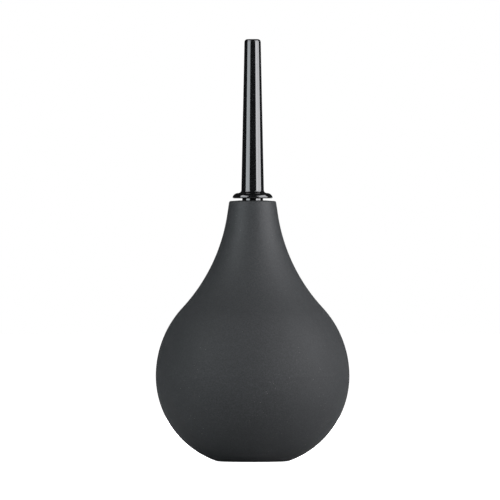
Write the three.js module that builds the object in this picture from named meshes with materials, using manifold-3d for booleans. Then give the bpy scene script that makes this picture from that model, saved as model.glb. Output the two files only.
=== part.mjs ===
// Pear-shaped rubber dust blower that stands on its base.
//
// A hollow rubber bulb carries a tapered plastic nozzle pushed into its neck. The nozzle's spigot
// holds a ball valve that lets air out only. A button valve in the base, with a loose flap disc
// under a cage, lets air in only. Pressing the base towards the neck blows.
//
// Millimetres, +Z up along the common axis, origin at the centre of the base.

import * as THREE from 'three';
import { mergeVertices } from 'three/addons/utils/BufferGeometryUtils.js';
import Module from 'manifold-3d';

const rad = THREE.MathUtils.degToRad;

// ---- Driving dimensions ----

const clearance = 0.3; // air kept between two pieces that touch or grip each other

// Rubber bulb: a flat base ring, a belly, a hollow shoulder and a short straight neck
const bulbRadius = 40;
const bellyHeight = 35.3; // height of the widest point
const baseRingRadius = 13; // outer edge of the flat that it stands on
const baseCornerRadius = 9;
const shoulderRadius = 41.5; // arc above the widest point
const neckRadius = 9.75; // at the top of the neck
const neckTopHeight = 107.5;
const neckTaper = rad(8.6); // of the straight neck, from the vertical
const neckStraight = 5; // length of the straight neck
const neckCornerRadius = 0.8;
const crownAngle = rad(4); // the neck's top face rises towards its mouth
const mouthChamfer = 0.6;
const wall = 3;
const floorCornerRadius = 5; // inside, between the floor and the belly
const boreLeadAngle = rad(45); // under the neck bore, where the rubber thins to the wall
const baseThickness = 3.5; // rubber that the inlet button grips

// Nozzle, standing a little proud of the neck
const flangeGap = 1.1; // between the neck's corner and the underside of the flange
const flangeRadius = 8.25;
const flangeRimHeight = 0.65; // of the dome's edge, before it is rounded
const flangeRimRadius = 0.35; // rounding between the dome and the upright rim
const flangeHeight = 2.2;
const tubeBaseRadius = 4.65;
const tubeFlareRun = 1.3; // the tube's foot is rounded into the flange
const tubeFlareHeight = 1.3;
const tubeTipRadius = 3.38;
const tubeLength = 65.7; // from the flange's underside to the tip
const tipCornerRadius = 1.2;
const tipBoreRadius = 1.3;
const rootBoreRadius = 2.0;
const spigotLength = 20; // from the flange's underside down
const spigotWall = 1.1; // around the valve chamber
const barbCount = 3;
const barbHeight = 0.55;
const barbPitch = 5;
const barbLead = 3; // length of each barb's cone
const collarLength = 3; // plain collar under the flange
const collarStep = 0.35; // the collar is this much smaller than the barbs

// Outlet valve, inside the spigot
const ballRadius = 2.2;
const ballLift = 1.5;
const ballAirGap = 0.8; // around the ball, for the air to pass
const seatBushLength = 5;
const seatHoleRadius = 1.4;
const seatAngle = rad(45);
const seatFlangeInset = 0.2; // the seat's flange is smaller than the spigot
const seatFlangeThickness = 1;
const stopRibCount = 4;
const stopRibWidth = 0.8;
const stopRibHeight = 3;
const stopRibInnerRadius = 1.5;

// Inlet valve, buttoned through the base
const buttonStemRadius = 5.3;
const buttonHeadLap = 2.7; // the head is wider than the stem by this much all round
const buttonHeadInset = 0.3; // the head sits this far above the table
const buttonHeadThickness = 1;
const buttonEdgeRadius = 0.4;
const buttonCollarLap = 1.9; // as the head's lap, for the collar inside the bulb
const buttonCollarThickness = 2;
const inletRadius = 2.5;
const grilleBarWidth = 0.8;
const grilleBarHeight = 1;
const grilleDepth = 0.8; // of the grille bars, inside the inlet
const flapRadius = 4.2;
const flapThickness = 0.8;
const flapLift = 1.2;
const flapAirGap = 0.8; // around the flap, for the air to pass
const flapSeatHeight = 0.8;
const cageLedge = 0.8; // the collar's top stands out under the cage by this much
const cageWall = 1;
const cageRoofThickness = 1.2;
const cageWindowCount = 4;
const cageWindowWidth = 3.2;
const cageSkirtHeight = 1; // solid ring under the windows
const cageVentRadius = 1.4;

// Facets: how many go around a turned piece, and how far a chord may cut inside its arc
const bulbSides = 48;
const nozzleSides = 32;
const valveSides = 24;
const chordError = 0.08;

// ---- Heights and radii that follow from them ----

const headTop = buttonHeadInset + buttonHeadThickness;
const baseRecessHeight = headTop + clearance;
const floorHeight = baseRecessHeight + baseThickness;
const buttonCollarHeight = floorHeight + clearance;
const flapSeatBase = buttonCollarHeight + buttonCollarThickness;
const flapSeatTop = flapSeatBase + flapSeatHeight;
const flapHeight = flapSeatTop + clearance;
const cageHeight = flapSeatBase + clearance;
const cageRoofHeight = flapHeight + flapThickness + flapLift + clearance;

const flangeUnderside = neckTopHeight + flangeGap;
const flangeTop = flangeUnderside + flangeHeight;
const tipHeight = flangeUnderside + tubeLength;
const spigotEnd = flangeUnderside - spigotLength;
const seatTop = spigotEnd + seatBushLength;

const buttonHeadRadius = buttonStemRadius + buttonHeadLap;
const buttonCollarRadius = buttonStemRadius + buttonCollarLap;
const buttonHoleRadius = buttonStemRadius + clearance;
const baseRecessRadius = buttonHeadRadius + clearance;
const flapSeatRadius = flapRadius + flapAirGap;
const cageInnerRadius = flapSeatRadius + clearance;
const cageOuterRadius = cageInnerRadius + cageWall;

const chamberRadius = ballRadius + ballAirGap;
const spigotRadius = chamberRadius + spigotWall;
const barbRadius = spigotRadius + barbHeight;
const collarRadius = barbRadius - collarStep;
const boreRadius = barbRadius + clearance;
const seatBushRadius = chamberRadius - clearance;
const seatMouthRadius = seatBushRadius - clearance;

// The ball rests on the seat's cone, one clearance off it, and lifts to the stop ribs
const seatConeBottom = seatTop - (seatMouthRadius - seatHoleRadius) * Math.tan(seatAngle);
const ballHeight = seatConeBottom - seatHoleRadius * Math.tan(seatAngle)
  + (ballRadius + clearance) / Math.cos(seatAngle);
const stopRibBottom = ballHeight + ballLift + clearance
  + Math.sqrt(ballRadius ** 2 - stopRibInnerRadius ** 2);
const chamberRoof = stopRibBottom + stopRibHeight;

// ---- Outline helpers: points are [radius, height] ----

// Points on an arc about centre, from one angle to another, angles from the outward direction
function arc(centre, radius, from, to) {
  const widest = 2 * Math.acos(1 - Math.min(chordError / radius, 0.1));
  const steps = Math.max(2, Math.ceil(Math.abs(to - from) / widest));
  return Array.from({ length: steps + 1 }, (_, i) => {
    const angle = from + ((to - from) * i) / steps;
    return [centre[0] + radius * Math.cos(angle), centre[1] + radius * Math.sin(angle)];
  });
}

const angleTo = (from, to) => Math.atan2(to[1] - from[1], to[0] - from[0]);
const along = (point, direction, distance) => [
  point[0] + direction[0] * distance,
  point[1] + direction[1] * distance,
];

// A closed or axis-to-axis outline, turned about +Z; it runs up the outside and down the inside
function turned(outline, sides) {
  const points = outline.map(([radius, height]) => new THREE.Vector2(Math.max(radius, 0), height));
  return new THREE.LatheGeometry(points, sides).rotateX(Math.PI / 2);
}

const closed = (outline) => [...outline, outline[0]];

// ---- Booleans ----

const wasm = await Module();
wasm.setup();

function solid(geometry) {
  const bare = geometry.clone();
  bare.deleteAttribute('normal');
  bare.deleteAttribute('uv');
  const merged = mergeVertices(bare, 1e-4);
  const corners = merged.index.array;
  const kept = [];
  for (let i = 0; i < corners.length; i += 3) {
    const [a, b, c] = corners.slice(i, i + 3);
    if (a !== b && b !== c && c !== a) kept.push(a, b, c);
  }
  return new wasm.Manifold(new wasm.Mesh({
    numProp: 3,
    vertProperties: new Float32Array(merged.attributes.position.array),
    triVerts: new Uint32Array(kept),
  }));
}

function geometryOf(manifold) {
  const mesh = manifold.getMesh();
  const geometry = new THREE.BufferGeometry();
  geometry.setAttribute('position', new THREE.BufferAttribute(mesh.vertProperties, 3));
  geometry.setIndex(new THREE.BufferAttribute(mesh.triVerts, 1));
  return geometry;
}

// Flat bars that stand out from the axis, evenly spaced around it
function spokes(count, innerRadius, outerRadius, width, bottom, top) {
  return Array.from({ length: count }, (_, i) => solid(
    new THREE.BoxGeometry(outerRadius - innerRadius, width, top - bottom)
      .translate((innerRadius + outerRadius) / 2, 0, (bottom + top) / 2)
      .rotateZ((2 * Math.PI * i) / count),
  ));
}

// ---- The bulb's outline ----

// The belly arc below the widest point touches the base corner's arc
const baseCorner = [baseRingRadius, baseCornerRadius];
const bellyRun = bulbRadius - baseRingRadius;
const bellyRise = bellyHeight - baseCornerRadius;
const bellyRadius = (bellyRun ** 2 + bellyRise ** 2 - baseCornerRadius ** 2)
  / (2 * (bellyRun - baseCornerRadius));
const bellyCentre = [bulbRadius - bellyRadius, bellyHeight];

// The hollow flare touches the shoulder arc and the foot of the straight neck
const shoulderCentre = [bulbRadius - shoulderRadius, bellyHeight];
const neckCorner = [neckRadius - neckCornerRadius, neckTopHeight - neckCornerRadius];
const neckOut = [Math.cos(neckTaper), Math.sin(neckTaper)];
const neckDown = [Math.sin(neckTaper), -Math.cos(neckTaper)];
const neckFoot = along(along(neckCorner, neckOut, neckCornerRadius), neckDown, neckStraight);
const toFoot = [neckFoot[0] - shoulderCentre[0], neckFoot[1] - shoulderCentre[1]];
const flareRadius = (toFoot[0] ** 2 + toFoot[1] ** 2 - shoulderRadius ** 2)
  / (2 * (shoulderRadius - toFoot[0] * neckOut[0] - toFoot[1] * neckOut[1]));
const flareCentre = along(neckFoot, neckOut, flareRadius);
const shoulderEnd = angleTo(shoulderCentre, flareCentre);

function bulbOutside() {
  const bellyStart = angleTo(bellyCentre, baseCorner);
  const crownRun = neckCorner[0] - boreRadius - mouthChamfer;
  const crownEdge = arc(neckCorner, neckCornerRadius, neckTaper, Math.PI / 2 - crownAngle);
  const crownHeight = crownEdge.at(-1)[1] + crownRun * Math.tan(crownAngle);
  return [
    [baseRecessRadius, 0],
    ...arc(baseCorner, baseCornerRadius, -Math.PI / 2, bellyStart),
    ...arc(bellyCentre, bellyRadius, bellyStart, 0).slice(1),
    ...arc(shoulderCentre, shoulderRadius, 0, shoulderEnd).slice(1),
    ...arc(flareCentre, flareRadius, shoulderEnd + Math.PI, neckTaper + Math.PI).slice(1),
    ...crownEdge,
    [boreRadius + mouthChamfer, crownHeight],
    [boreRadius, crownHeight - mouthChamfer],
  ];
}

// The lead under the bore runs outwards and down until it meets the inside of the flare
function boreLead() {
  const inside = flareRadius + wall;
  const start = [boreRadius, spigotEnd];
  const way = [Math.cos(boreLeadAngle), -Math.sin(boreLeadAngle)];
  const offset = [start[0] - flareCentre[0], start[1] - flareCentre[1]];
  const across = offset[0] * way[0] + offset[1] * way[1];
  const beyond = offset[0] ** 2 + offset[1] ** 2 - inside ** 2;
  return along(start, way, -across - Math.sqrt(across ** 2 - beyond));
}

function bulbInside() {
  const lead = boreLead();
  const innerBelly = bellyRadius - wall;
  const cornerHeight = floorHeight + floorCornerRadius;
  const cornerReach = Math.sqrt((innerBelly - floorCornerRadius) ** 2
    - (bellyHeight - cornerHeight) ** 2);
  const floorCorner = [bellyCentre[0] + cornerReach, cornerHeight];
  const bellyStart = angleTo(bellyCentre, floorCorner);
  return [
    [boreRadius, spigotEnd],
    ...arc(flareCentre, flareRadius + wall, angleTo(flareCentre, lead) + 2 * Math.PI,
      shoulderEnd + Math.PI),
    ...arc(shoulderCentre, shoulderRadius - wall, shoulderEnd, 0).slice(1),
    ...arc(bellyCentre, innerBelly, 0, bellyStart).slice(1),
    ...arc(floorCorner, floorCornerRadius, bellyStart, -Math.PI / 2).slice(1),
    [buttonHoleRadius, floorHeight],
    [buttonHoleRadius, baseRecessHeight],
    [baseRecessRadius, baseRecessHeight],
  ];
}

const bulb = () => turned(closed([...bulbOutside(), ...bulbInside()]), bulbSides);

// ---- The nozzle ----

function spigotOutside() {
  const barbs = Array.from({ length: barbCount }, (_, i) => {
    const foot = spigotEnd + i * barbPitch;
    return [[spigotRadius, foot], [barbRadius, foot + barbLead], [spigotRadius, foot + barbLead]];
  }).flat();
  return [
    ...barbs,
    [spigotRadius, flangeUnderside - collarLength],
    [collarRadius, flangeUnderside - collarLength],
    [collarRadius, flangeUnderside],
  ];
}

// The dome is an arc from the rim to the tube's foot, level at the foot. A small arc that touches
// it rounds the rim, and the foot's flare is a hollow arc that runs into the tube.
function flangeOutside() {
  const rimTop = flangeUnderside + flangeRimHeight;
  const foot = [tubeBaseRadius + tubeFlareRun, flangeTop];
  const run = flangeRadius - foot[0];
  const rise = flangeTop - rimTop;
  const domeRadius = (run ** 2 + rise ** 2) / (2 * rise);
  const domeCentre = [foot[0], flangeTop - domeRadius];
  const rimReach = flangeRadius - flangeRimRadius - foot[0];
  const rimRise = Math.sqrt((domeRadius - flangeRimRadius) ** 2 - rimReach ** 2);
  const rimCentre = [flangeRadius - flangeRimRadius, domeCentre[1] + rimRise];
  const domeStart = angleTo(domeCentre, rimCentre);
  const flareArc = (tubeFlareHeight ** 2 + tubeFlareRun ** 2) / (2 * tubeFlareRun);
  const flareMiddle = [tubeBaseRadius + flareArc, flangeTop + tubeFlareHeight];
  const flareStart = angleTo(flareMiddle, foot) + 2 * Math.PI;
  return [
    [flangeRadius, flangeUnderside],
    ...arc(rimCentre, flangeRimRadius, 0, domeStart),
    ...arc(domeCentre, domeRadius, domeStart, Math.PI / 2).slice(1),
    ...arc(flareMiddle, flareArc, flareStart, Math.PI).slice(1),
  ];
}

function tubeOutside() {
  const tipCentre = [tubeTipRadius - tipCornerRadius, tipHeight - tipCornerRadius];
  return [
    ...arc(tipCentre, tipCornerRadius, 0, Math.PI / 2),
    [tipBoreRadius, tipHeight],
  ];
}

function nozzle() {
  const roofRise = chamberRadius - rootBoreRadius;
  const outline = closed([
    ...spigotOutside(),
    ...flangeOutside(),
    ...tubeOutside(),
    [rootBoreRadius, chamberRoof + roofRise],
    [chamberRadius, chamberRoof],
    [chamberRadius, spigotEnd],
  ]);
  const ribOuterRadius = (chamberRadius + spigotRadius) / 2;
  const ribs = spokes(stopRibCount, stopRibInnerRadius, ribOuterRadius, stopRibWidth,
    stopRibBottom, chamberRoof + roofRise);
  return geometryOf(ribs.reduce((body, rib) => body.add(rib), solid(turned(outline, nozzleSides))));
}

// ---- The outlet valve ----

function outletSeat() {
  const flangeHigh = spigotEnd - clearance;
  const flangeLow = flangeHigh - seatFlangeThickness;
  const seatFlangeRadius = spigotRadius - seatFlangeInset;
  return turned(closed([
    [seatHoleRadius, flangeLow],
    [seatFlangeRadius, flangeLow],
    [seatFlangeRadius, flangeHigh],
    [seatBushRadius, flangeHigh],
    [seatBushRadius, seatTop],
    [seatMouthRadius, seatTop],
    [seatHoleRadius, seatConeBottom],
  ]), valveSides);
}

const outletBall = () => turned(
  arc([0, ballHeight], ballRadius, -Math.PI / 2, Math.PI / 2),
  valveSides,
);

// ---- The inlet valve ----

function inletButton() {
  const edge = [buttonHeadRadius - buttonEdgeRadius, buttonHeadInset + buttonEdgeRadius];
  const body = solid(turned(closed([
    [inletRadius, buttonHeadInset],
    ...arc(edge, buttonEdgeRadius, -Math.PI / 2, 0),
    [buttonHeadRadius, headTop],
    [buttonStemRadius, headTop],
    [buttonStemRadius, buttonCollarHeight],
    [buttonCollarRadius, buttonCollarHeight],
    [flapSeatRadius + cageLedge, flapSeatBase],
    [flapSeatRadius, flapSeatBase],
    [flapSeatRadius, flapSeatTop],
    [inletRadius, flapSeatTop],
  ]), valveSides));
  const barEnd = (inletRadius + buttonStemRadius) / 2;
  const barBottom = buttonHeadInset + grilleDepth;
  const bars = spokes(4, 0, barEnd, grilleBarWidth, barBottom, barBottom + grilleBarHeight);
  return geometryOf(bars.reduce((whole, bar) => whole.add(bar), body));
}

const inletFlap = () => turned([
  [0, flapHeight],
  [flapRadius, flapHeight],
  [flapRadius, flapHeight + flapThickness],
  [0, flapHeight + flapThickness],
], valveSides);

function inletCage() {
  const roofTop = cageRoofHeight + cageRoofThickness;
  const body = solid(turned(closed([
    [cageInnerRadius, cageHeight],
    [cageOuterRadius, cageHeight],
    [cageOuterRadius, roofTop - cageWall / 2],
    [cageOuterRadius - cageWall / 2, roofTop],
    [cageVentRadius, roofTop],
    [cageVentRadius, cageRoofHeight],
    [cageInnerRadius, cageRoofHeight],
  ]), valveSides));
  const windows = spokes(cageWindowCount, cageInnerRadius - cageWall, cageOuterRadius + cageWall,
    cageWindowWidth, cageHeight + cageSkirtHeight, cageRoofHeight);
  return geometryOf(windows.reduce((whole, window) => whole.subtract(window), body));
}

// ---- The assembly ----

const finishes = {
  rubber: { color: 0x2c2d2f, roughness: 0.75, metalness: 0 },
  glossPlastic: { color: 0x0b0b0c, roughness: 0.12, metalness: 0 },
  mouldedPlastic: { color: 0x1b1b1c, roughness: 0.5, metalness: 0 },
  flapRubber: { color: 0x4a4a4c, roughness: 0.8, metalness: 0 },
  valveBall: { color: 0xd8d6cf, roughness: 0.3, metalness: 0 },
};

function piece(name, geometry, finish) {
  const mesh = new THREE.Mesh(geometry, new THREE.MeshStandardMaterial(finishes[finish]));
  mesh.name = name;
  return mesh;
}

const group = new THREE.Group();
group.add(
  piece('bulb', bulb(), 'rubber'),
  piece('nozzle', nozzle(), 'glossPlastic'),
  piece('outlet_seat', outletSeat(), 'mouldedPlastic'),
  piece('outlet_ball', outletBall(), 'valveBall'),
  piece('inlet_button', inletButton(), 'mouldedPlastic'),
  piece('inlet_flap', inletFlap(), 'flapRubber'),
  piece('inlet_cage', inletCage(), 'mouldedPlastic'),
);

export default group;
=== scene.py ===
"""Looks of a pear-shaped rubber dust blower with a push-in nozzle, standing on a pale floor.

Every piece is turned about the Z axis: a Python function draws its half outline as radius and
height, and a Geometry Nodes tree turns it. Ribs, grille bars and cage windows are rings of blocks
that a second tree joins or cuts. Lengths are metres, and MM turns millimetres into metres.
"""
import math

import bmesh
import bpy
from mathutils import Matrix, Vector


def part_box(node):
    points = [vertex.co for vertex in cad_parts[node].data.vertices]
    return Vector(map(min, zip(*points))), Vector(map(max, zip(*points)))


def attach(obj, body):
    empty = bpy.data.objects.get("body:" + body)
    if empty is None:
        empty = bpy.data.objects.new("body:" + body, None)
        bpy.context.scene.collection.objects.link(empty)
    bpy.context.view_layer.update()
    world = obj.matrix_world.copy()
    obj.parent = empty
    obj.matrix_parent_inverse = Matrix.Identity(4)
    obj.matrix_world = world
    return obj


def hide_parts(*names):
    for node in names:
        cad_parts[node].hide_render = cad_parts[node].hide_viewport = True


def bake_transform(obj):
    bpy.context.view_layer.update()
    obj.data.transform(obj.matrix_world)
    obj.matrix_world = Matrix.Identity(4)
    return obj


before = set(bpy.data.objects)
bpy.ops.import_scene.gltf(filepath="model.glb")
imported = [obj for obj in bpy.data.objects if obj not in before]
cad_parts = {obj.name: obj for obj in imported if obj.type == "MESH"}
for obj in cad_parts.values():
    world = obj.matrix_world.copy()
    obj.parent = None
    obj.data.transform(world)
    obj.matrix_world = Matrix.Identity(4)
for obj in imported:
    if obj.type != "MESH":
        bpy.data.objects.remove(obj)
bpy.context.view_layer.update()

MM = 0.001
CLEARANCE = 0.3 * MM  # between pieces that touch on the real object

# ---- Sizes, from the frame where it has them ----

bulb_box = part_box("bulb")
nozzle_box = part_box("nozzle")
seat_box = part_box("outlet_seat")
ball_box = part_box("outlet_ball")
button_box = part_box("inlet_button")
flap_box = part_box("inlet_flap")
cage_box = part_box("inlet_cage")

BULB_RADIUS = bulb_box[1].x
BELLY_HEIGHT = 35.3 * MM
BASE_RING_RADIUS = 13 * MM
BASE_CORNER_RADIUS = 9 * MM
SHOULDER_RADIUS = 41.5 * MM
NECK_RADIUS = 9.75 * MM
NECK_TOP_HEIGHT = 107.5 * MM
NECK_TAPER = math.radians(8.6)
NECK_STRAIGHT = 5 * MM
NECK_CORNER_RADIUS = 0.8 * MM
CROWN_ANGLE = math.radians(4)
WALL = 3 * MM
FLOOR_CORNER_RADIUS = 5 * MM
BORE_LEAD_ANGLE = math.radians(45)
BORE_RADIUS = 4.95 * MM
MOUTH_ROUNDING = 0.5 * MM
BASE_RECESS_RADIUS = button_box[1].x + CLEARANCE
BASE_RECESS_HEIGHT = 1.6 * MM
FLOOR_HEIGHT = 5.1 * MM
STEM_RADIUS = 5.3 * MM
PARTING_LINE_WIDTH = 0.7 * MM
PARTING_LINE_PROUD = 0.02 * MM
RUBBER_EDGE = 0.35 * MM  # how far a rubber edge is rounded
PLASTIC_EDGE = 0.12 * MM

TIP_HEIGHT = nozzle_box[1].z
SPIGOT_END = nozzle_box[0].z
FLANGE_RADIUS = nozzle_box[1].x
FLANGE_UNDERSIDE = 108.6 * MM
FLANGE_RIM_HEIGHT = 0.65 * MM
FLANGE_RIM_RADIUS = 0.35 * MM
FLANGE_LIP_RADIUS = 0.4 * MM  # under the rim
FLANGE_HEIGHT = 2.2 * MM
TUBE_BASE_RADIUS = 4.65 * MM
TUBE_FLARE_RUN = 1.3 * MM
TUBE_FLARE_HEIGHT = 1.3 * MM
TUBE_TIP_RADIUS = 3.38 * MM
TIP_CORNER_RADIUS = 1.2 * MM
TIP_BORE_RADIUS = 1.3 * MM
ROOT_BORE_RADIUS = 2.0 * MM
COLLAR_RADIUS = 4.3 * MM
COLLAR_LENGTH = 3 * MM
SPIGOT_RADIUS = 4.1 * MM
BARB_RADIUS = 4.65 * MM
BARB_COUNT = 3
BARB_PITCH = 5 * MM
BARB_LEAD = 3 * MM
CHAMBER_RADIUS = 3.0 * MM
CHAMBER_ROOF = 101.14 * MM
STOP_RIB_BOTTOM = 98.14 * MM
STOP_RIB_INNER_RADIUS = 1.5 * MM
RIB_WIDTH = 0.8 * MM

SEAT_HOLE_RADIUS = 1.4 * MM
SEAT_BUSH_RADIUS = CHAMBER_RADIUS - CLEARANCE
SEAT_FLANGE_THICKNESS = 1 * MM

INLET_RADIUS = 2.5 * MM
BUTTON_HEAD_THICKNESS = 1 * MM
BUTTON_COLLAR_RADIUS = 7.2 * MM
BUTTON_COLLAR_THICKNESS = 2 * MM
BUTTON_COLLAR_TOP_RADIUS = 5.8 * MM
FLAP_SEAT_RADIUS = 5 * MM
GRILLE_DEPTH = 0.8 * MM
GRILLE_BAR_HEIGHT = 1 * MM
CAGE_WALL = 1 * MM
CAGE_ROOF_THICKNESS = 1.2 * MM
CAGE_SKIRT_HEIGHT = 1 * MM
CAGE_WINDOW_WIDTH = 3.2 * MM
CAGE_VENT_RADIUS = 1.4 * MM

BULB_SIDES = 180
PLASTIC_SIDES = 96
CHORD_ERROR = 0.006 * MM  # how far a chord may cut inside its arc
WIDEST_STEP = math.radians(15)
SAME_POINT = 0.001 * MM
SHARP_FROM = math.radians(35)

# ---- Outlines: lists of (radius, height, rounding), up the outside and down the inside ----


def arc(centre, radius, start, end):
    """Points on an arc, its angles measured from the outward direction. They need no rounding."""
    step = min(WIDEST_STEP, 2 * math.acos(1 - min(CHORD_ERROR / radius, 0.5)))
    count = max(2, math.ceil(abs(end - start) / step))
    angles = [start + (end - start) * i / count for i in range(count + 1)]
    return [(centre[0] + radius * math.cos(a), centre[1] + radius * math.sin(a), 0) for a in angles]


def angle_to(start, end):
    """The angle of the way from one point to another, from the outward direction."""
    return math.atan2(end[1] - start[1], end[0] - start[0])


def along(point, direction, distance):
    """The point that lies a distance away in a direction."""
    return (point[0] + direction[0] * distance, point[1] + direction[1] * distance)


def rounded(outline, closed=True):
    """Gives each corner that asks for it a small arc, with a point beside it that keeps flats flat."""
    made = []
    for i, (radius, height, rounding) in enumerate(outline):
        here = Vector((radius, height))
        if rounding == 0 or (not closed and i in (0, len(outline) - 1)):
            made.append(here)
            continue
        back = Vector(outline[i - 1][:2]) - here
        ahead = Vector(outline[(i + 1) % len(outline)][:2]) - here
        half = back.angle(ahead) / 2
        room = 0.4 * min(back.length, ahead.length)
        reach = min(rounding / math.tan(half), room)
        fillet = reach * math.tan(half)
        start = here + back.normalized() * reach
        end = here + ahead.normalized() * reach
        centre = here + (back.normalized() + ahead.normalized()).normalized() * fillet / math.sin(half)
        turn = math.pi - 2 * half
        count = max(2, math.ceil(turn / WIDEST_STEP))
        from_start, to_end = start - centre, end - centre
        made.append(start + back.normalized() * reach * 0.25)
        for k in range(count + 1):
            share = k / count
            mixed = from_start * math.sin((1 - share) * turn) + to_end * math.sin(share * turn)
            made.append(centre + mixed / math.sin(turn))
        made.append(end + ahead.normalized() * reach * 0.25)
    return made + [made[0]] if closed else made


def bulb_outline():
    """Arcs that run into each other: base corner, belly, shoulder, hollow flare, and the neck's edge."""
    corner = (BASE_RING_RADIUS, BASE_CORNER_RADIUS)
    run, rise = BULB_RADIUS - BASE_RING_RADIUS, BELLY_HEIGHT - BASE_CORNER_RADIUS
    belly = (run**2 + rise**2 - BASE_CORNER_RADIUS**2) / (2 * (run - BASE_CORNER_RADIUS))
    belly_centre = (BULB_RADIUS - belly, BELLY_HEIGHT)
    shoulder_centre = (BULB_RADIUS - SHOULDER_RADIUS, BELLY_HEIGHT)
    neck_corner = (NECK_RADIUS - NECK_CORNER_RADIUS, NECK_TOP_HEIGHT - NECK_CORNER_RADIUS)
    neck_out = (math.cos(NECK_TAPER), math.sin(NECK_TAPER))
    neck_down = (math.sin(NECK_TAPER), -math.cos(NECK_TAPER))
    neck_foot = along(along(neck_corner, neck_out, NECK_CORNER_RADIUS), neck_down, NECK_STRAIGHT)
    to_foot = (neck_foot[0] - shoulder_centre[0], neck_foot[1] - shoulder_centre[1])
    flare = (to_foot[0]**2 + to_foot[1]**2 - SHOULDER_RADIUS**2) / (
        2 * (SHOULDER_RADIUS - to_foot[0] * neck_out[0] - to_foot[1] * neck_out[1]))
    flare_centre = along(neck_foot, neck_out, flare)
    shoulder_end = angle_to(shoulder_centre, flare_centre)
    belly_start = angle_to(belly_centre, corner)
    seam = PARTING_LINE_WIDTH / 2 / BULB_RADIUS
    proud = BULB_RADIUS + PARTING_LINE_PROUD
    crown_edge = arc(neck_corner, NECK_CORNER_RADIUS, NECK_TAPER, math.pi / 2 - CROWN_ANGLE)
    crown_run = crown_edge[-1][0] - BORE_RADIUS
    crown_height = crown_edge[-1][1] + crown_run * math.tan(CROWN_ANGLE)
    outside = [
        (BASE_RECESS_RADIUS, 0, RUBBER_EDGE),
        *arc(corner, BASE_CORNER_RADIUS, -math.pi / 2, belly_start),
        *arc(belly_centre, belly, belly_start, -seam)[1:],
        (proud, BELLY_HEIGHT - PARTING_LINE_WIDTH / 8, 0),
        (proud, BELLY_HEIGHT + PARTING_LINE_WIDTH / 8, 0),
        *arc(shoulder_centre, SHOULDER_RADIUS, seam, shoulder_end),
        *arc(flare_centre, flare, shoulder_end + math.pi, NECK_TAPER + math.pi)[1:],
        *crown_edge,
        (BORE_RADIUS, crown_height, MOUTH_ROUNDING),
    ]
    lead_way = (math.cos(BORE_LEAD_ANGLE), -math.sin(BORE_LEAD_ANGLE))
    offset = (BORE_RADIUS - flare_centre[0], SPIGOT_END - flare_centre[1])
    across = offset[0] * lead_way[0] + offset[1] * lead_way[1]
    beyond = offset[0]**2 + offset[1]**2 - (flare + WALL)**2
    lead = along((BORE_RADIUS, SPIGOT_END), lead_way, -across - math.sqrt(across**2 - beyond))
    reach = math.sqrt((belly - WALL - FLOOR_CORNER_RADIUS)**2
                      - (BELLY_HEIGHT - FLOOR_HEIGHT - FLOOR_CORNER_RADIUS)**2)
    floor_corner = (belly_centre[0] + reach, FLOOR_HEIGHT + FLOOR_CORNER_RADIUS)
    floor_turn = angle_to(belly_centre, floor_corner)
    lead_angle = angle_to(flare_centre, lead) + 2 * math.pi
    inside = [
        (BORE_RADIUS, SPIGOT_END, RUBBER_EDGE),
        (*lead, RUBBER_EDGE),
        *arc(flare_centre, flare + WALL, lead_angle, shoulder_end + math.pi)[1:],
        *arc(shoulder_centre, SHOULDER_RADIUS - WALL, shoulder_end, 0)[1:],
        *arc(belly_centre, belly - WALL, 0, floor_turn)[1:],
        *arc(floor_corner, FLOOR_CORNER_RADIUS, floor_turn, -math.pi / 2)[1:],
        (STEM_RADIUS + CLEARANCE, FLOOR_HEIGHT, RUBBER_EDGE),
        (STEM_RADIUS + CLEARANCE, BASE_RECESS_HEIGHT, RUBBER_EDGE),
        (BASE_RECESS_RADIUS, BASE_RECESS_HEIGHT, RUBBER_EDGE),
    ]
    return rounded(outside + inside)


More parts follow.
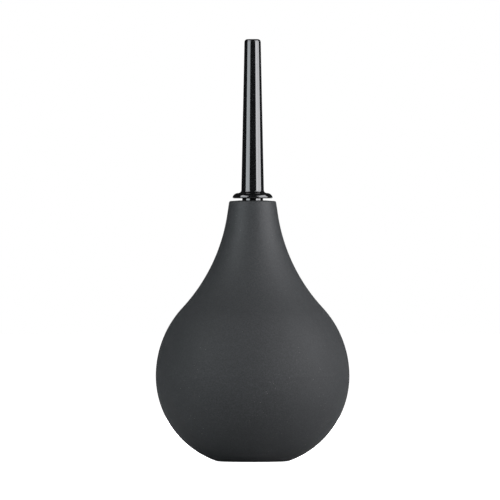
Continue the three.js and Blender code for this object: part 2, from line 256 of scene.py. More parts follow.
def nozzle_outline():
    """Barbed spigot, collar, domed flange and tapered tube, with the bore and valve chamber inside."""
    barbs = []
    for i in range(BARB_COUNT):
        foot = SPIGOT_END + i * BARB_PITCH
        barbs += [
            (SPIGOT_RADIUS, foot, PLASTIC_EDGE),
            (BARB_RADIUS, foot + BARB_LEAD, PLASTIC_EDGE),
            (SPIGOT_RADIUS, foot + BARB_LEAD, PLASTIC_EDGE),
        ]
    collar_foot = FLANGE_UNDERSIDE - COLLAR_LENGTH
    flange_top = FLANGE_UNDERSIDE + FLANGE_HEIGHT
    rim_top = FLANGE_UNDERSIDE + FLANGE_RIM_HEIGHT
    foot = (TUBE_BASE_RADIUS + TUBE_FLARE_RUN, flange_top)
    run, rise = FLANGE_RADIUS - foot[0], flange_top - rim_top
    dome = (run**2 + rise**2) / (2 * rise)
    dome_centre = (foot[0], flange_top - dome)
    rim_reach = FLANGE_RADIUS - FLANGE_RIM_RADIUS - foot[0]
    rim_rise = math.sqrt((dome - FLANGE_RIM_RADIUS)**2 - rim_reach**2)
    rim_centre = (FLANGE_RADIUS - FLANGE_RIM_RADIUS, dome_centre[1] + rim_rise)
    dome_start = angle_to(dome_centre, rim_centre)
    lip_centre = (FLANGE_RADIUS - FLANGE_LIP_RADIUS, FLANGE_UNDERSIDE + FLANGE_LIP_RADIUS)
    flare = (TUBE_FLARE_HEIGHT**2 + TUBE_FLARE_RUN**2) / (2 * TUBE_FLARE_RUN)
    flare_centre = (TUBE_BASE_RADIUS + flare, flange_top + TUBE_FLARE_HEIGHT)
    flare_start = angle_to(flare_centre, foot) + 2 * math.pi
    tip_centre = (TUBE_TIP_RADIUS - TIP_CORNER_RADIUS, TIP_HEIGHT - TIP_CORNER_RADIUS)
    return rounded([
        *barbs,
        (SPIGOT_RADIUS, collar_foot, PLASTIC_EDGE),
        (COLLAR_RADIUS, collar_foot, PLASTIC_EDGE),
        (COLLAR_RADIUS, FLANGE_UNDERSIDE, PLASTIC_EDGE),
        *arc(lip_centre, FLANGE_LIP_RADIUS, -math.pi / 2, 0),
        *arc(rim_centre, FLANGE_RIM_RADIUS, 0, dome_start),
        *arc(dome_centre, dome, dome_start, math.pi / 2)[1:-1],
        (*foot, 0),
        *arc(flare_centre, flare, flare_start, math.pi)[1:],
        *arc(tip_centre, TIP_CORNER_RADIUS, 0, math.pi / 2),
        (TIP_BORE_RADIUS, TIP_HEIGHT, PLASTIC_EDGE),
        (ROOT_BORE_RADIUS, CHAMBER_ROOF + CHAMBER_RADIUS - ROOT_BORE_RADIUS, PLASTIC_EDGE),
        (CHAMBER_RADIUS, CHAMBER_ROOF, PLASTIC_EDGE),
        (CHAMBER_RADIUS, SPIGOT_END, PLASTIC_EDGE),
    ])


def seat_outline():
    """A flanged bush with a conical seat on top."""
    low, top = seat_box[0].z, seat_box[1].z
    flange_radius = seat_box[1].x
    mouth = SEAT_BUSH_RADIUS - CLEARANCE
    cone_bottom = top - (mouth - SEAT_HOLE_RADIUS)
    return rounded([
        (SEAT_HOLE_RADIUS, low, PLASTIC_EDGE),
        (flange_radius, low, PLASTIC_EDGE),
        (flange_radius, low + SEAT_FLANGE_THICKNESS, PLASTIC_EDGE),
        (SEAT_BUSH_RADIUS, low + SEAT_FLANGE_THICKNESS, PLASTIC_EDGE),
        (SEAT_BUSH_RADIUS, top, PLASTIC_EDGE),
        (mouth, top, PLASTIC_EDGE),
        (SEAT_HOLE_RADIUS, cone_bottom, PLASTIC_EDGE),
    ])


def ball_outline():
    radius = (ball_box[1].z - ball_box[0].z) / 2
    centre = (0, (ball_box[1].z + ball_box[0].z) / 2)
    return rounded(arc(centre, radius, -math.pi / 2, math.pi / 2), closed=False)


def button_outline():
    """A spool that buttons through the base: head, stem, collar and the raised seat for the flap."""
    low, top = button_box[0].z, button_box[1].z
    head_radius = button_box[1].x
    head_top = low + BUTTON_HEAD_THICKNESS
    collar = FLOOR_HEIGHT + CLEARANCE
    collar_top = collar + BUTTON_COLLAR_THICKNESS
    return rounded([
        (INLET_RADIUS, low, 3 * PLASTIC_EDGE),
        (head_radius, low, 3 * PLASTIC_EDGE),
        (head_radius, head_top, PLASTIC_EDGE),
        (STEM_RADIUS, head_top, PLASTIC_EDGE),
        (STEM_RADIUS, collar, PLASTIC_EDGE),
        (BUTTON_COLLAR_RADIUS, collar, PLASTIC_EDGE),
        (BUTTON_COLLAR_TOP_RADIUS, collar_top, PLASTIC_EDGE),
        (FLAP_SEAT_RADIUS, collar_top, PLASTIC_EDGE),
        (FLAP_SEAT_RADIUS, top, PLASTIC_EDGE),
        (INLET_RADIUS, top, PLASTIC_EDGE),
    ])


def flap_outline():
    low, high = flap_box[0].z, flap_box[1].z
    radius = flap_box[1].x
    return rounded([
        (0, low, 0),
        (radius, low, RUBBER_EDGE),
        (radius, high, RUBBER_EDGE),
        (0, high, 0),
    ], closed=False)


def cage_outline():
    """A cap over the flap, open below and vented in its roof."""
    low, high = cage_box[0].z, cage_box[1].z
    outer = cage_box[1].x
    roof = high - CAGE_ROOF_THICKNESS
    return rounded([
        (outer - CAGE_WALL, low, PLASTIC_EDGE),
        (outer, low, PLASTIC_EDGE),
        (outer, high, CAGE_WALL / 2),
        (CAGE_VENT_RADIUS, high, PLASTIC_EDGE),
        (CAGE_VENT_RADIUS, roof, PLASTIC_EDGE),
        (outer - CAGE_WALL, roof, PLASTIC_EDGE),
    ])


# ---- Geometry Nodes ----


def new_tree(name, inputs):
    """A tree with one geometry in and out, and named inputs given as (label, kind, value)."""
    tree = bpy.data.node_groups.new(name, "GeometryNodeTree")
    tree.interface.new_socket("Geometry", in_out="INPUT", socket_type="NodeSocketGeometry")
    tree.interface.new_socket("Geometry", in_out="OUTPUT", socket_type="NodeSocketGeometry")
    for label, kind, value in inputs:
        socket = tree.interface.new_socket(label, in_out="INPUT", socket_type=kind)
        if value is not None:
            socket.default_value = value
    return tree, tree.nodes.new("NodeGroupInput"), tree.nodes.new("NodeGroupOutput")


def add(tree, kind, settings=None, **values):
    """Adds a node and fills its inputs, each by its name or, as in0 or in1, by its number.

    A value that is a socket is linked to the input, and any other is set on it.
    """
    node = tree.nodes.new(kind)
    for key, value in (settings or {}).items():
        setattr(node, key, value)
    for key, value in values.items():
        numbered = key.startswith("in") and key[2:].isdigit()
        socket = node.inputs[int(key[2:]) if numbered else key.replace("_", " ")]
        if isinstance(value, bpy.types.NodeSocket):
            tree.links.new(value, socket)
        else:
            socket.default_value = value
    return node


def maths(tree, operation, first, second=0.0):
    """The result of one sum on two values or sockets."""
    return add(tree, "ShaderNodeMath", {"operation": operation}, in0=first, in1=second).outputs[0]


def turning_tree():
    """Turns an outline, a chain of points in the XZ plane, about the Z axis."""
    tree, given, result = new_tree("turned_body", [
        ("Sides", "NodeSocketInt", 96),
        ("Merge", "NodeSocketFloat", SAME_POINT),
        ("Finish", "NodeSocketMaterial", None),
    ])
    outline, sides = given.outputs["Geometry"], given.outputs["Sides"]
    count = add(tree, "GeometryNodeAttributeDomainSize", Geometry=outline).outputs["Point Count"]
    columns = maths(tree, "ADD", sides, 1.0)
    sheet = add(tree, "GeometryNodeMeshGrid", Vertices_X=columns, Vertices_Y=count).outputs["Mesh"]
    index = add(tree, "GeometryNodeInputIndex").outputs[0]
    step = maths(tree, "MODULO", index, count)
    column = maths(tree, "FLOOR", maths(tree, "DIVIDE", index, count))
    angle = maths(tree, "MULTIPLY", maths(tree, "DIVIDE", column, sides), 2 * math.pi)
    position = add(tree, "GeometryNodeInputPosition").outputs[0]
    sampled = add(tree, "GeometryNodeSampleIndex", {"data_type": "FLOAT_VECTOR"},
                  Geometry=outline, Value=position, Index=step).outputs[0]
    turned = add(tree, "ShaderNodeVectorRotate", {"rotation_type": "Z_AXIS"},
                 Vector=sampled, Angle=angle).outputs[0]
    placed = add(tree, "GeometryNodeSetPosition", Geometry=sheet, Position=turned).outputs[0]
    merged = add(tree, "GeometryNodeMergeByDistance", Geometry=placed,
                 Distance=given.outputs["Merge"]).outputs[0]
    real = add(tree, "GeometryNodeRealizeInstances", Geometry=merged).outputs[0]
    finished = add(tree, "GeometryNodeSetMaterial", Geometry=real, Material=given.outputs["Finish"])
    tree.links.new(finished.outputs[0], result.inputs["Geometry"])
    return tree


def block_ring_tree(name, operation):
    """Joins a ring of blocks about the Z axis to a turned body, or cuts them from it."""
    tree, given, result = new_tree(name, [
        ("Count", "NodeSocketInt", 4),
        ("Inner radius", "NodeSocketFloat", 1 * MM),
        ("Outer radius", "NodeSocketFloat", 2 * MM),
        ("Width", "NodeSocketFloat", 1 * MM),
        ("Bottom", "NodeSocketFloat", 0.0),
        ("Top", "NodeSocketFloat", 1 * MM),
        ("Finish", "NodeSocketMaterial", None),
    ])
    inner, outer = given.outputs["Inner radius"], given.outputs["Outer radius"]
    bottom, top = given.outputs["Bottom"], given.outputs["Top"]
    size = add(tree, "ShaderNodeCombineXYZ", X=maths(tree, "SUBTRACT", outer, inner),
               Y=given.outputs["Width"], Z=maths(tree, "SUBTRACT", top, bottom)).outputs[0]
    middle = add(tree, "ShaderNodeCombineXYZ",
                 X=maths(tree, "MULTIPLY", maths(tree, "ADD", inner, outer), 0.5),
                 Z=maths(tree, "MULTIPLY", maths(tree, "ADD", bottom, top), 0.5)).outputs[0]
    block = add(tree, "GeometryNodeMeshCube", Size=size).outputs["Mesh"]
    moved = add(tree, "GeometryNodeTransform", Geometry=block, Translation=middle).outputs[0]
    points = add(tree, "GeometryNodePoints", Count=given.outputs["Count"]).outputs[0]
    index = add(tree, "GeometryNodeInputIndex").outputs[0]
    share = maths(tree, "DIVIDE", index, given.outputs["Count"])
    turn = add(tree, "ShaderNodeCombineXYZ", Z=maths(tree, "MULTIPLY", share, 2 * math.pi)).outputs[0]
    ring = add(tree, "GeometryNodeInstanceOnPoints", Points=points, Instance=moved,
               Rotation=turn).outputs[0]
    real = add(tree, "GeometryNodeRealizeInstances", Geometry=ring).outputs[0]
    merge = tree.nodes.new("GeometryNodeMeshBoolean")
    merge.operation = operation
    merge.solver = "EXACT"
    body = given.outputs["Geometry"]
    tree.links.new(body, merge.inputs["Mesh 1" if operation == "DIFFERENCE" else "Mesh 2"])
    tree.links.new(real, merge.inputs["Mesh 2"])
    finished = add(tree, "GeometryNodeSetMaterial", Geometry=merge.outputs["Mesh"],
                   Material=given.outputs["Finish"])
    tree.links.new(finished.outputs[0], result.inputs["Geometry"])
    return tree


def grown(piece, tree, **values):
    """Runs a tree on a piece and keeps its result as a plain mesh."""
    modifier = piece.modifiers.new(tree.name, "NODES")
    modifier.node_group = tree
    names = {s.name: s.identifier for s in tree.interface.items_tree if s.in_out == "INPUT"}
    for key, value in values.items():
        modifier[names[key.replace("_", " ")]] = value
    evaluated = piece.evaluated_get(bpy.context.evaluated_depsgraph_get())
    mesh = bpy.data.meshes.new_from_object(evaluated)
    piece.modifiers.remove(modifier)
    piece.data = mesh
    return piece


def cleaned(piece):
    """Merges doubles, points every face outwards and marks the edges that are meant to be crisp."""
    work = bmesh.new()
    work.from_mesh(piece.data)
    bmesh.ops.remove_doubles(work, verts=work.verts, dist=SAME_POINT)
    bmesh.ops.dissolve_degenerate(work, dist=SAME_POINT / 10, edges=work.edges)
    bmesh.ops.recalc_face_normals(work, faces=work.faces)
    for face in work.faces:
        face.smooth = True
    work.to_mesh(piece.data)
    work.free()
    piece.data.set_sharp_from_angle(angle=SHARP_FROM)
    return piece


TURNED_BODY = turning_tree()
BLOCKS_JOINED = block_ring_tree("blocks_joined", "UNION")
BLOCKS_CUT = block_ring_tree("blocks_cut", "DIFFERENCE")


def turned_piece(name, outline, sides, finish):
    """Makes an object by turning an outline about the Z axis."""
    mesh = bpy.data.meshes.new(name)
    points = [(p.x, 0, p.y) for p in outline]
    mesh.from_pydata(points, [(i, i + 1) for i in range(len(points) - 1)], [])
    piece = bpy.data.objects.new(name, mesh)
    bpy.context.scene.collection.objects.link(piece)
    grown(piece, TURNED_BODY, Sides=sides, Finish=finish)
    return cleaned(piece)


# ---- Materials ----


def new_group(name, inputs, outputs):
    """A shader group of plain values, with inputs given as (label, value) and outputs by label."""
    group = bpy.data.node_groups.new(name, "ShaderNodeTree")
    for label, value in inputs:
        socket = group.interface.new_socket(label, in_out="INPUT", socket_type="NodeSocketFloat")
        socket.default_value = value
    for label in outputs:
        group.interface.new_socket(label, in_out="OUTPUT", socket_type="NodeSocketFloat")
    return group, group.nodes.new("NodeGroupInput"), group.nodes.new("NodeGroupOutput")


def place_of(tree):
    """Where a point lies on its own piece, in Object coordinates."""
    return tree.nodes.new("ShaderNodeTexCoord").outputs["Object"]


def spread(tree, value, low, high, new_low=0.0, new_high=1.0):
    """Stretches a value from one range to another, without going past its ends."""
    return add(tree, "ShaderNodeMapRange", Value=value, From_Min=low, From_Max=high,
               To_Min=new_low, To_Max=new_high).outputs[0]


def moulded_grain_group():
    """The very fine, even texture that a blasted mould leaves."""
    group, given, result = new_group("moulded_grain", [("Scale", 2400), ("Softness", 0.5)], ["Height"])
    place = place_of(group)
    fine = add(group, "ShaderNodeTexNoise", Vector=place, Scale=given.outputs["Scale"], Detail=3.0,
               Roughness=given.outputs["Softness"]).outputs["Fac"]
    pits_scale = maths(group, "MULTIPLY", given.outputs["Scale"], 0.6)
    pits = add(group, "ShaderNodeTexVoronoi", {"feature": "SMOOTH_F1"}, Vector=place,
               Scale=pits_scale, Smoothness=0.6).outputs["Distance"]
    fine_part = maths(group, "MULTIPLY", fine, 0.65)
    pitted_part = maths(group, "MULTIPLY", pits, 0.35)
    group.links.new(maths(group, "ADD", fine_part, pitted_part), result.inputs["Height"])
    return group


def tone_drift_group():
    """Slow drift of tone over a surface, from 1 - Amount to 1 + Amount."""
    group, given, result = new_group("tone_drift", [("Scale", 30), ("Amount", 0.1)], ["Factor"])
    noise = add(group, "ShaderNodeTexNoise", Vector=place_of(group), Scale=given.outputs["Scale"],
                Detail=4.0, Roughness=0.55).outputs["Fac"]
    centred = maths(group, "MULTIPLY", maths(group, "SUBTRACT", noise, 0.5), 2.0)
    swing = maths(group, "MULTIPLY", centred, given.outputs["Amount"])
    group.links.new(maths(group, "ADD", swing, 1.0), result.inputs["Factor"])
    return group


def settled_dust_group():
    """Sparse, tiny specks of dust, gathered in loose patches."""
    group, given, result = new_group("settled_dust", [("Scale", 700), ("Size", 0.1)], ["Mask"])
    place = place_of(group)
    cells = add(group, "ShaderNodeTexVoronoi", Vector=place, Scale=given.outputs["Scale"],
                Randomness=1.0).outputs["Distance"]
    specks = maths(group, "LESS_THAN", cells, given.outputs["Size"])
    patches = add(group, "ShaderNodeTexNoise", Vector=place, Scale=60.0, Detail=2.0).outputs["Fac"]
    patch = spread(group, patches, 0.5, 0.7)
    group.links.new(maths(group, "MULTIPLY", specks, patch), result.inputs["Mask"])
    return group


def handling_haze_group():
    """Where fingers have been: soft smears, from 0 to 1."""
    group, given, result = new_group("handling_haze", [("Scale", 80), ("Cover", 0.5)], ["Mask"])
    place = place_of(group)
    warp = add(group, "ShaderNodeTexNoise", Vector=place, Scale=given.outputs["Scale"], Detail=5.0,
               Roughness=0.6, Distortion=1.2).outputs["Fac"]
    edge = maths(group, "SUBTRACT", 1.0, given.outputs["Cover"])
    high = maths(group, "ADD", edge, 0.25)
    group.links.new(spread(group, warp, edge, high), result.inputs["Mask"])
    return group


MOULDED_GRAIN = moulded_grain_group()
TONE_DRIFT = tone_drift_group()
SETTLED_DUST = settled_dust_group()
HANDLING_HAZE = handling_haze_group()


def placed_group(tree, group, **values):
    """Puts a shader group in a material with its inputs set, and gives its one output."""
    node = tree.nodes.new("ShaderNodeGroup")
    node.node_tree = group
    for key, value in values.items():
        node.inputs[key].default_value = value
    return node.outputs[0]


def new_material(name, **constants):
    """A material with a Principled shader whose constant sockets are set."""
    material = bpy.data.materials.new(name)
    material.use_nodes = True
    shader = material.node_tree.nodes["Principled BSDF"]
    for key, value in constants.items():
        shader.inputs[key.replace("_", " ")].default_value = value
    return material, material.node_tree, shader


def toned(tree, colour, factor):
    """A colour made lighter or darker by a factor."""
    grey = add(tree, "ShaderNodeCombineColor", Red=factor, Green=factor, Blue=factor).outputs[0]
    mix = tree.nodes.new("ShaderNodeMix")
    mix.data_type = "RGBA"
    mix.blend_type = "MULTIPLY"
    mix.inputs["Factor"].default_value = 1.0
    mix.inputs["A"].default_value = (*colour, 1)
    tree.links.new(grey, mix.inputs["B"])
    return mix.outputs["Result"]


def blended(tree, first, second, mask):
    """A colour that turns from the first, a socket, to the second, a colour, by a mask."""
    mix = tree.nodes.new("ShaderNodeMix")
    mix.data_type = "RGBA"
    tree.links.new(mask, mix.inputs["Factor"])
    tree.links.new(first, mix.inputs["A"])
    mix.inputs["B"].default_value = (*second, 1)
    return mix.outputs["Result"]


def bumped(tree, shader, height, distance, strength):
    """Bumps a shader's normal by a height from 0 to 1, which stands for the distance given."""
    bump = add(tree, "ShaderNodeBump", Height=height, Distance=distance, Strength=strength)
    tree.links.new(bump.outputs[0], shader.inputs["Normal"])


RUBBER_BLACK = (0.0162, 0.0169, 0.0174)
RUBBER_DUST = (0.16, 0.155, 0.145)
RUBBER_ROUGHNESS = 0.68
NECK_ROUGHNESS = 0.54  # smoother towards the neck, where the rubber is held
NECK_PAINTED_LIGHT = 1.12  # painted light: how much paler the rubber is made there, standing in for the stronger light on the neck
NECK_SMOOTHING_AND_PAINTED_LIGHT_START = 70 * MM  # heights that the neck's smoother finish and its painted light fade in between
NECK_SMOOTHING_AND_PAINTED_LIGHT_FULL = 95 * MM
NOZZLE_BLACK = (0.003, 0.003, 0.0033)
NOZZLE_DUST = (0.2, 0.2, 0.19)
NOZZLE_ROUGHNESS = 0.055
VALVE_BLACK = (0.018, 0.018, 0.019)
VALVE_ROUGHNESS = 0.38
FLAP_GREY = (0.09, 0.09, 0.095)
BALL_IVORY = (0.7, 0.68, 0.62)
BALL_ROUGHNESS = 0.2


def bulb_rubber():
    """Soft matt black rubber: fine even grain, slow drift of tone, a little dust, faint smears, and
    painted light that makes it paler up the neck.
    """
    material, tree, shader = new_material("bulb_rubber", Specular_IOR_Level=0.14)
    grain = placed_group(tree, MOULDED_GRAIN, Scale=2600, Softness=0.55)
    drift = placed_group(tree, TONE_DRIFT, Scale=45, Amount=0.16)
    haze = placed_group(tree, HANDLING_HAZE, Scale=55, Cover=0.45)
    dust = placed_group(tree, SETTLED_DUST, Scale=620, Size=0.085)
    speckle = spread(tree, grain, 0.3, 0.7, 0.75, 1.25)
    height = add(tree, "ShaderNodeSeparateXYZ", Vector=place_of(tree)).outputs["Z"]
    neck = spread(tree, height, NECK_SMOOTHING_AND_PAINTED_LIGHT_START, NECK_SMOOTHING_AND_PAINTED_LIGHT_FULL)
    # Painted light: the colour grows paler up the neck, standing in for the stronger light that falls
    # there.
    neck_painted_light = spread(tree, neck, 0, 1, 1.0, NECK_PAINTED_LIGHT)
    factor = maths(tree, "MULTIPLY", maths(tree, "MULTIPLY", drift, neck_painted_light), speckle)
    colour = toned(tree, RUBBER_BLACK, factor)
    dusty = blended(tree, colour, RUBBER_DUST, maths(tree, "MULTIPLY", dust, 0.5))
    tree.links.new(dusty, shader.inputs["Base Color"])
    plain = spread(tree, neck, 0, 1, RUBBER_ROUGHNESS, NECK_ROUGHNESS)
    rough = maths(tree, "SUBTRACT", plain, maths(tree, "MULTIPLY", haze, 0.05))
    tree.links.new(rough, shader.inputs["Roughness"])
    bumped(tree, shader, grain, distance=0.05 * MM, strength=0.55)
    return material


def nozzle_plastic():
    """Polished black moulding: deep gloss, faint smears, and the slow waves of a thin moulding."""
    material, tree, shader = new_material("nozzle_plastic", Specular_IOR_Level=0.5)
    drift = placed_group(tree, TONE_DRIFT, Scale=90, Amount=0.25)
    haze = placed_group(tree, HANDLING_HAZE, Scale=140, Cover=0.5)
    dust = placed_group(tree, SETTLED_DUST, Scale=500, Size=0.03)
    colour = toned(tree, NOZZLE_BLACK, drift)
    dusty = blended(tree, colour, NOZZLE_DUST, maths(tree, "MULTIPLY", dust, 0.2))
    tree.links.new(dusty, shader.inputs["Base Color"])
    rough = maths(tree, "ADD", NOZZLE_ROUGHNESS, maths(tree, "MULTIPLY", haze, 0.05))
    tree.links.new(rough, shader.inputs["Roughness"])
    waves = add(tree, "ShaderNodeTexNoise", Vector=place_of(tree), Scale=160.0,
                Detail=1.0).outputs["Fac"]
    bumped(tree, shader, waves, distance=0.02 * MM, strength=0.25)
    return material


def valve_plastic():
    """Plain black moulding for the hidden valve parts and the button in the base."""
    material, tree, shader = new_material("valve_plastic", Specular_IOR_Level=0.45)
    grain = placed_group(tree, MOULDED_GRAIN, Scale=3200, Softness=0.5)
    drift = placed_group(tree, TONE_DRIFT, Scale=160, Amount=0.2)
    haze = placed_group(tree, HANDLING_HAZE, Scale=200, Cover=0.5)
    tree.links.new(toned(tree, VALVE_BLACK, drift), shader.inputs["Base Color"])
    rough = maths(tree, "ADD", VALVE_ROUGHNESS, maths(tree, "MULTIPLY", haze, 0.1))
    tree.links.new(rough, shader.inputs["Roughness"])
    bumped(tree, shader, grain, distance=0.03 * MM, strength=0.5)
    return material


def flap_rubber():
    """Thin dark grey sheet for the flap disc."""
    material, tree, shader = new_material("flap_rubber", Specular_IOR_Level=0.4, Sheen_Weight=0.1)
    grain = placed_group(tree, MOULDED_GRAIN, Scale=2000, Softness=0.6)
    drift = placed_group(tree, TONE_DRIFT, Scale=220, Amount=0.12)
    tree.links.new(toned(tree, FLAP_GREY, drift), shader.inputs["Base Color"])
    rough = spread(tree, grain, 0.3, 0.7, 0.6, 0.72)
    tree.links.new(rough, shader.inputs["Roughness"])
    bumped(tree, shader, grain, distance=0.04 * MM, strength=0.6)
    return material


def ball_plastic():
    """Smooth ivory-white ball, a little yellowed."""
    material, tree, shader = new_material("ball_plastic", Specular_IOR_Level=0.5)
    drift = placed_group(tree, TONE_DRIFT, Scale=300, Amount=0.06)
    haze = placed_group(tree, HANDLING_HAZE, Scale=400, Cover=0.5)
    tree.links.new(toned(tree, BALL_IVORY, drift), shader.inputs["Base Color"])
    rough = maths(tree, "ADD", BALL_ROUGHNESS, maths(tree, "MULTIPLY", haze, 0.12))
    tree.links.new(rough, shader.inputs["Roughness"])
    return material


def studio_floor_finish():
    """Pale matt floor, clear from below. What the camera sees of it glows up to the white behind, dimmer
    near the object as a painted shadow.
    """
    material, tree, shader = new_material("studio_floor", Roughness=0.9, Specular_IOR_Level=0.1)
    drift = placed_group(tree, TONE_DRIFT, Scale=4, Amount=0.01)
    path = tree.nodes.new("ShaderNodeLightPath")
    direct = path.outputs["Is Camera Ray"]
    level = spread(tree, path.outputs["Is Glossy Ray"], 0, 1, FLOOR_BOUNCE, FLOOR_MIRROR)
    tree.links.new(toned(tree, (1.0, 1.0, 1.0), maths(tree, "MULTIPLY", drift, level)),
                   shader.inputs["Base Color"])
    away = add(tree, "ShaderNodeVectorMath", {"operation": "LENGTH"},
               in0=place_of(tree)).outputs["Value"]
    # Painted shadow: the floor's glow is dimmer close to the object and rises to full white further out.
    glow_with_painted_shadow = spread(tree, away, PAINTED_SHADOW_FADE_START, PAINTED_SHADOW_FADE_END, FLOOR_GLOW_IN_PAINTED_SHADOW, 1.0)
    shader.inputs["Emission Color"].default_value = (1, 1, 1, 1)
    tree.links.new(maths(tree, "MULTIPLY", direct, glow_with_painted_shadow), shader.inputs["Emission Strength"])
    under = tree.nodes.new("ShaderNodeNewGeometry").outputs["Backfacing"]
    clear = tree.nodes.new("ShaderNodeBsdfTransparent")
    either = add(tree, "ShaderNodeMixShader", in0=under, in1=shader.outputs[0], in2=clear.outputs[0])
    tree.links.new(either.outputs[0], tree.nodes["Material Output"].inputs["Surface"])
    return material


# ---- Studio sizes ----

VIEW_WIDTH = 206.4 * MM  # of the picture, where the object stands
VIEW_CENTRE = (-1.07 * MM, 87.27 * MM)  # across and up
CAMERA_DISTANCE = 4.0
SENSOR_WIDTH = 36.0
FLOOR_HALF = 6.0
FLOOR_GAP = 0.02 * MM  # keeps the floor from lying in the same plane as the base
FLOOR_BOUNCE = 0.78  # tone of the floor, for all but reflections
FLOOR_MIRROR = 0.35  # and its tone in reflections
FLOOR_GLOW_IN_PAINTED_SHADOW = 0.9  # painted shadow: glow that the camera sees by the object, rising to 1 further out
PAINTED_SHADOW_FADE_START = 50 * MM
PAINTED_SHADOW_FADE_END = 500 * MM
LIGHT_DISTANCE = 0.9
LOW_RISE = (-5, 33)  # degrees above the level, from a light's lower edge to its upper
HIGH_RISE = (38, 60)
BACK_RISE = (0, 60)
COOL = (0.90, 0.96, 1.0)
NEUTRAL = (0.96, 0.965, 1.0)
WORLD_SEEN = 1.0  # brightness of the room to the camera
WORLD_MIRROR = 0.03  # in reflections
WORLD_FILL = 0.12  # and as light on the object


def studio():
    """The camera, the floor, the soft lights and a white room around them."""
    scene = bpy.context.scene
    scene.view_settings.view_transform = "Standard"

    camera_data = bpy.data.cameras.new("camera")
    camera_data.sensor_width = SENSOR_WIDTH
    camera_data.lens = SENSOR_WIDTH * CAMERA_DISTANCE / VIEW_WIDTH
    camera = bpy.data.objects.new("camera", camera_data)
    camera.location = (VIEW_CENTRE[0], -CAMERA_DISTANCE, VIEW_CENTRE[1])
    camera.rotation_euler = (math.pi / 2, 0, 0)
    scene.collection.objects.link(camera)
    scene.camera = camera

    mesh = bpy.data.meshes.new("floor")
    corners = [(x, y, -FLOOR_GAP) for x, y in (
        (-FLOOR_HALF, -FLOOR_HALF), (FLOOR_HALF, -FLOOR_HALF),
        (FLOOR_HALF, FLOOR_HALF), (-FLOOR_HALF, FLOOR_HALF))]
    mesh.from_pydata(corners, [], [(0, 1, 2, 3)])
    mesh.materials.append(studio_floor_finish())
    floor = bpy.data.objects.new("floor", mesh)
    scene.collection.objects.link(floor)

    soft_box("left_box", turn=(-74, -32), rise=LOW_RISE, radiance=26.0, tint=COOL)
    soft_box("right_box", turn=(39, 60), rise=LOW_RISE, radiance=40.0, tint=NEUTRAL)
    soft_box("far_right_box", turn=(60, 96), rise=LOW_RISE, radiance=33.0, tint=NEUTRAL)
    left_gleam = soft_box("left_gleam", turn=(-84, -44), rise=HIGH_RISE, radiance=24.0, tint=NEUTRAL)
    left_gleam.visible_diffuse = False
    right_gleam = soft_box("right_gleam", turn=(46, 98), rise=HIGH_RISE, radiance=24.0, tint=NEUTRAL)
    right_gleam.visible_diffuse = False
    back_box = soft_box("back_box", turn=(158, 202), rise=BACK_RISE, radiance=20.0, tint=NEUTRAL)
    back_box.visible_glossy = False

    world = bpy.data.worlds.new("white_room")
    world.use_nodes = True
    scene.world = world
    tree = world.node_tree
    background = tree.nodes["Background"]
    path = tree.nodes.new("ShaderNodeLightPath")
    seen = path.outputs["Is Camera Ray"]
    mirrored = maths(tree, "MULTIPLY", path.outputs["Is Glossy Ray"], WORLD_MIRROR - WORLD_FILL)
    level = maths(tree, "ADD", maths(tree, "MULTIPLY", seen, WORLD_SEEN - WORLD_FILL),
                  maths(tree, "ADD", mirrored, WORLD_FILL))
    tree.links.new(level, background.inputs["Strength"])
    background.inputs["Color"].default_value = (1, 1, 1, 1)


def soft_box(name, turn, rise, radiance, tint):
    """A soft light facing the object, between two turns to the side of the camera and two rises."""
    half_turn, half_rise = math.radians(turn[1] - turn[0]) / 2, math.radians(rise[1] - rise[0]) / 2
    data = bpy.data.lights.new(name, "AREA")
    data.shape = "RECTANGLE"
    data.size = 2 * LIGHT_DISTANCE * math.tan(half_turn)
    data.size_y = 2 * LIGHT_DISTANCE * math.tan(half_rise)
    data.energy = radiance * data.size * data.size_y
    data.color = tint
    light = bpy.data.objects.new(name, data)
    side, up = math.radians(turn[0] + turn[1]) / 2, math.radians(rise[0] + rise[1]) / 2
    way = Vector((math.sin(side) * math.cos(up), -math.cos(side) * math.cos(up), math.sin(up)))
    light.location = Vector((0, 0, VIEW_CENTRE[1])) + way * LIGHT_DISTANCE
    light.rotation_euler = way.to_track_quat("Z", "Y").to_euler()
    light.visible_camera = False
    bpy.context.scene.collection.objects.link(light)
    return light


# ---- The object ----


def settle(piece, node, body):
    """Puts a finished piece in place of its CAD node, on that node's body."""
    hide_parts(node)
    if body is not None:
        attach(piece, body)
    return piece


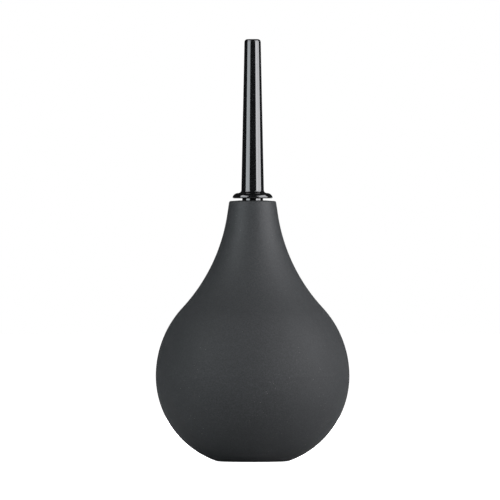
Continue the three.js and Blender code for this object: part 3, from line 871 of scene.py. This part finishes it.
def make_object():
    """Makes each piece and puts it in place of its CAD node."""
    rubber, gloss, plastic = bulb_rubber(), nozzle_plastic(), valve_plastic()
    sheet, ivory = flap_rubber(), ball_plastic()

    skin = turned_piece("rubber_bulb", bulb_outline(), BULB_SIDES, rubber)
    settle(skin, "bulb", None)
    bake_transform(skin)

    tube = turned_piece("nozzle_tube", nozzle_outline(), PLASTIC_SIDES, gloss)
    grown(tube, BLOCKS_JOINED, Count=4, Inner_radius=STOP_RIB_INNER_RADIUS,
          Outer_radius=(CHAMBER_RADIUS + SPIGOT_RADIUS) / 2, Width=RIB_WIDTH, Bottom=STOP_RIB_BOTTOM,
          Top=CHAMBER_ROOF + CHAMBER_RADIUS - ROOT_BORE_RADIUS, Finish=gloss)
    settle(cleaned(tube), "nozzle", "nozzle")

    seat = turned_piece("valve_seat", seat_outline(), PLASTIC_SIDES, plastic)
    settle(seat, "outlet_seat", "nozzle")
    ball = turned_piece("check_ball", ball_outline(), PLASTIC_SIDES, ivory)
    settle(ball, "outlet_ball", "outlet_ball")

    button = turned_piece("base_button", button_outline(), PLASTIC_SIDES, plastic)
    bar_low = button_box[0].z + GRILLE_DEPTH
    grown(button, BLOCKS_JOINED, Count=4, Inner_radius=-RIB_WIDTH / 2,
          Outer_radius=(INLET_RADIUS + STEM_RADIUS) / 2, Width=RIB_WIDTH, Bottom=bar_low,
          Top=bar_low + GRILLE_BAR_HEIGHT, Finish=plastic)
    settle(cleaned(button), "inlet_button", "inlet_valve")

    flap = turned_piece("flap_disc", flap_outline(), PLASTIC_SIDES, sheet)
    settle(flap, "inlet_flap", "inlet_flap")

    cage = turned_piece("flap_cage", cage_outline(), PLASTIC_SIDES, plastic)
    outer = cage_box[1].x
    grown(cage, BLOCKS_CUT, Count=4, Inner_radius=outer - 2 * CAGE_WALL,
          Outer_radius=outer + CAGE_WALL, Width=CAGE_WINDOW_WIDTH,
          Bottom=cage_box[0].z + CAGE_SKIRT_HEIGHT, Top=cage_box[1].z - CAGE_ROOF_THICKNESS,
          Finish=plastic)
    settle(cleaned(cage), "inlet_cage", "inlet_valve")


make_object()
studio()
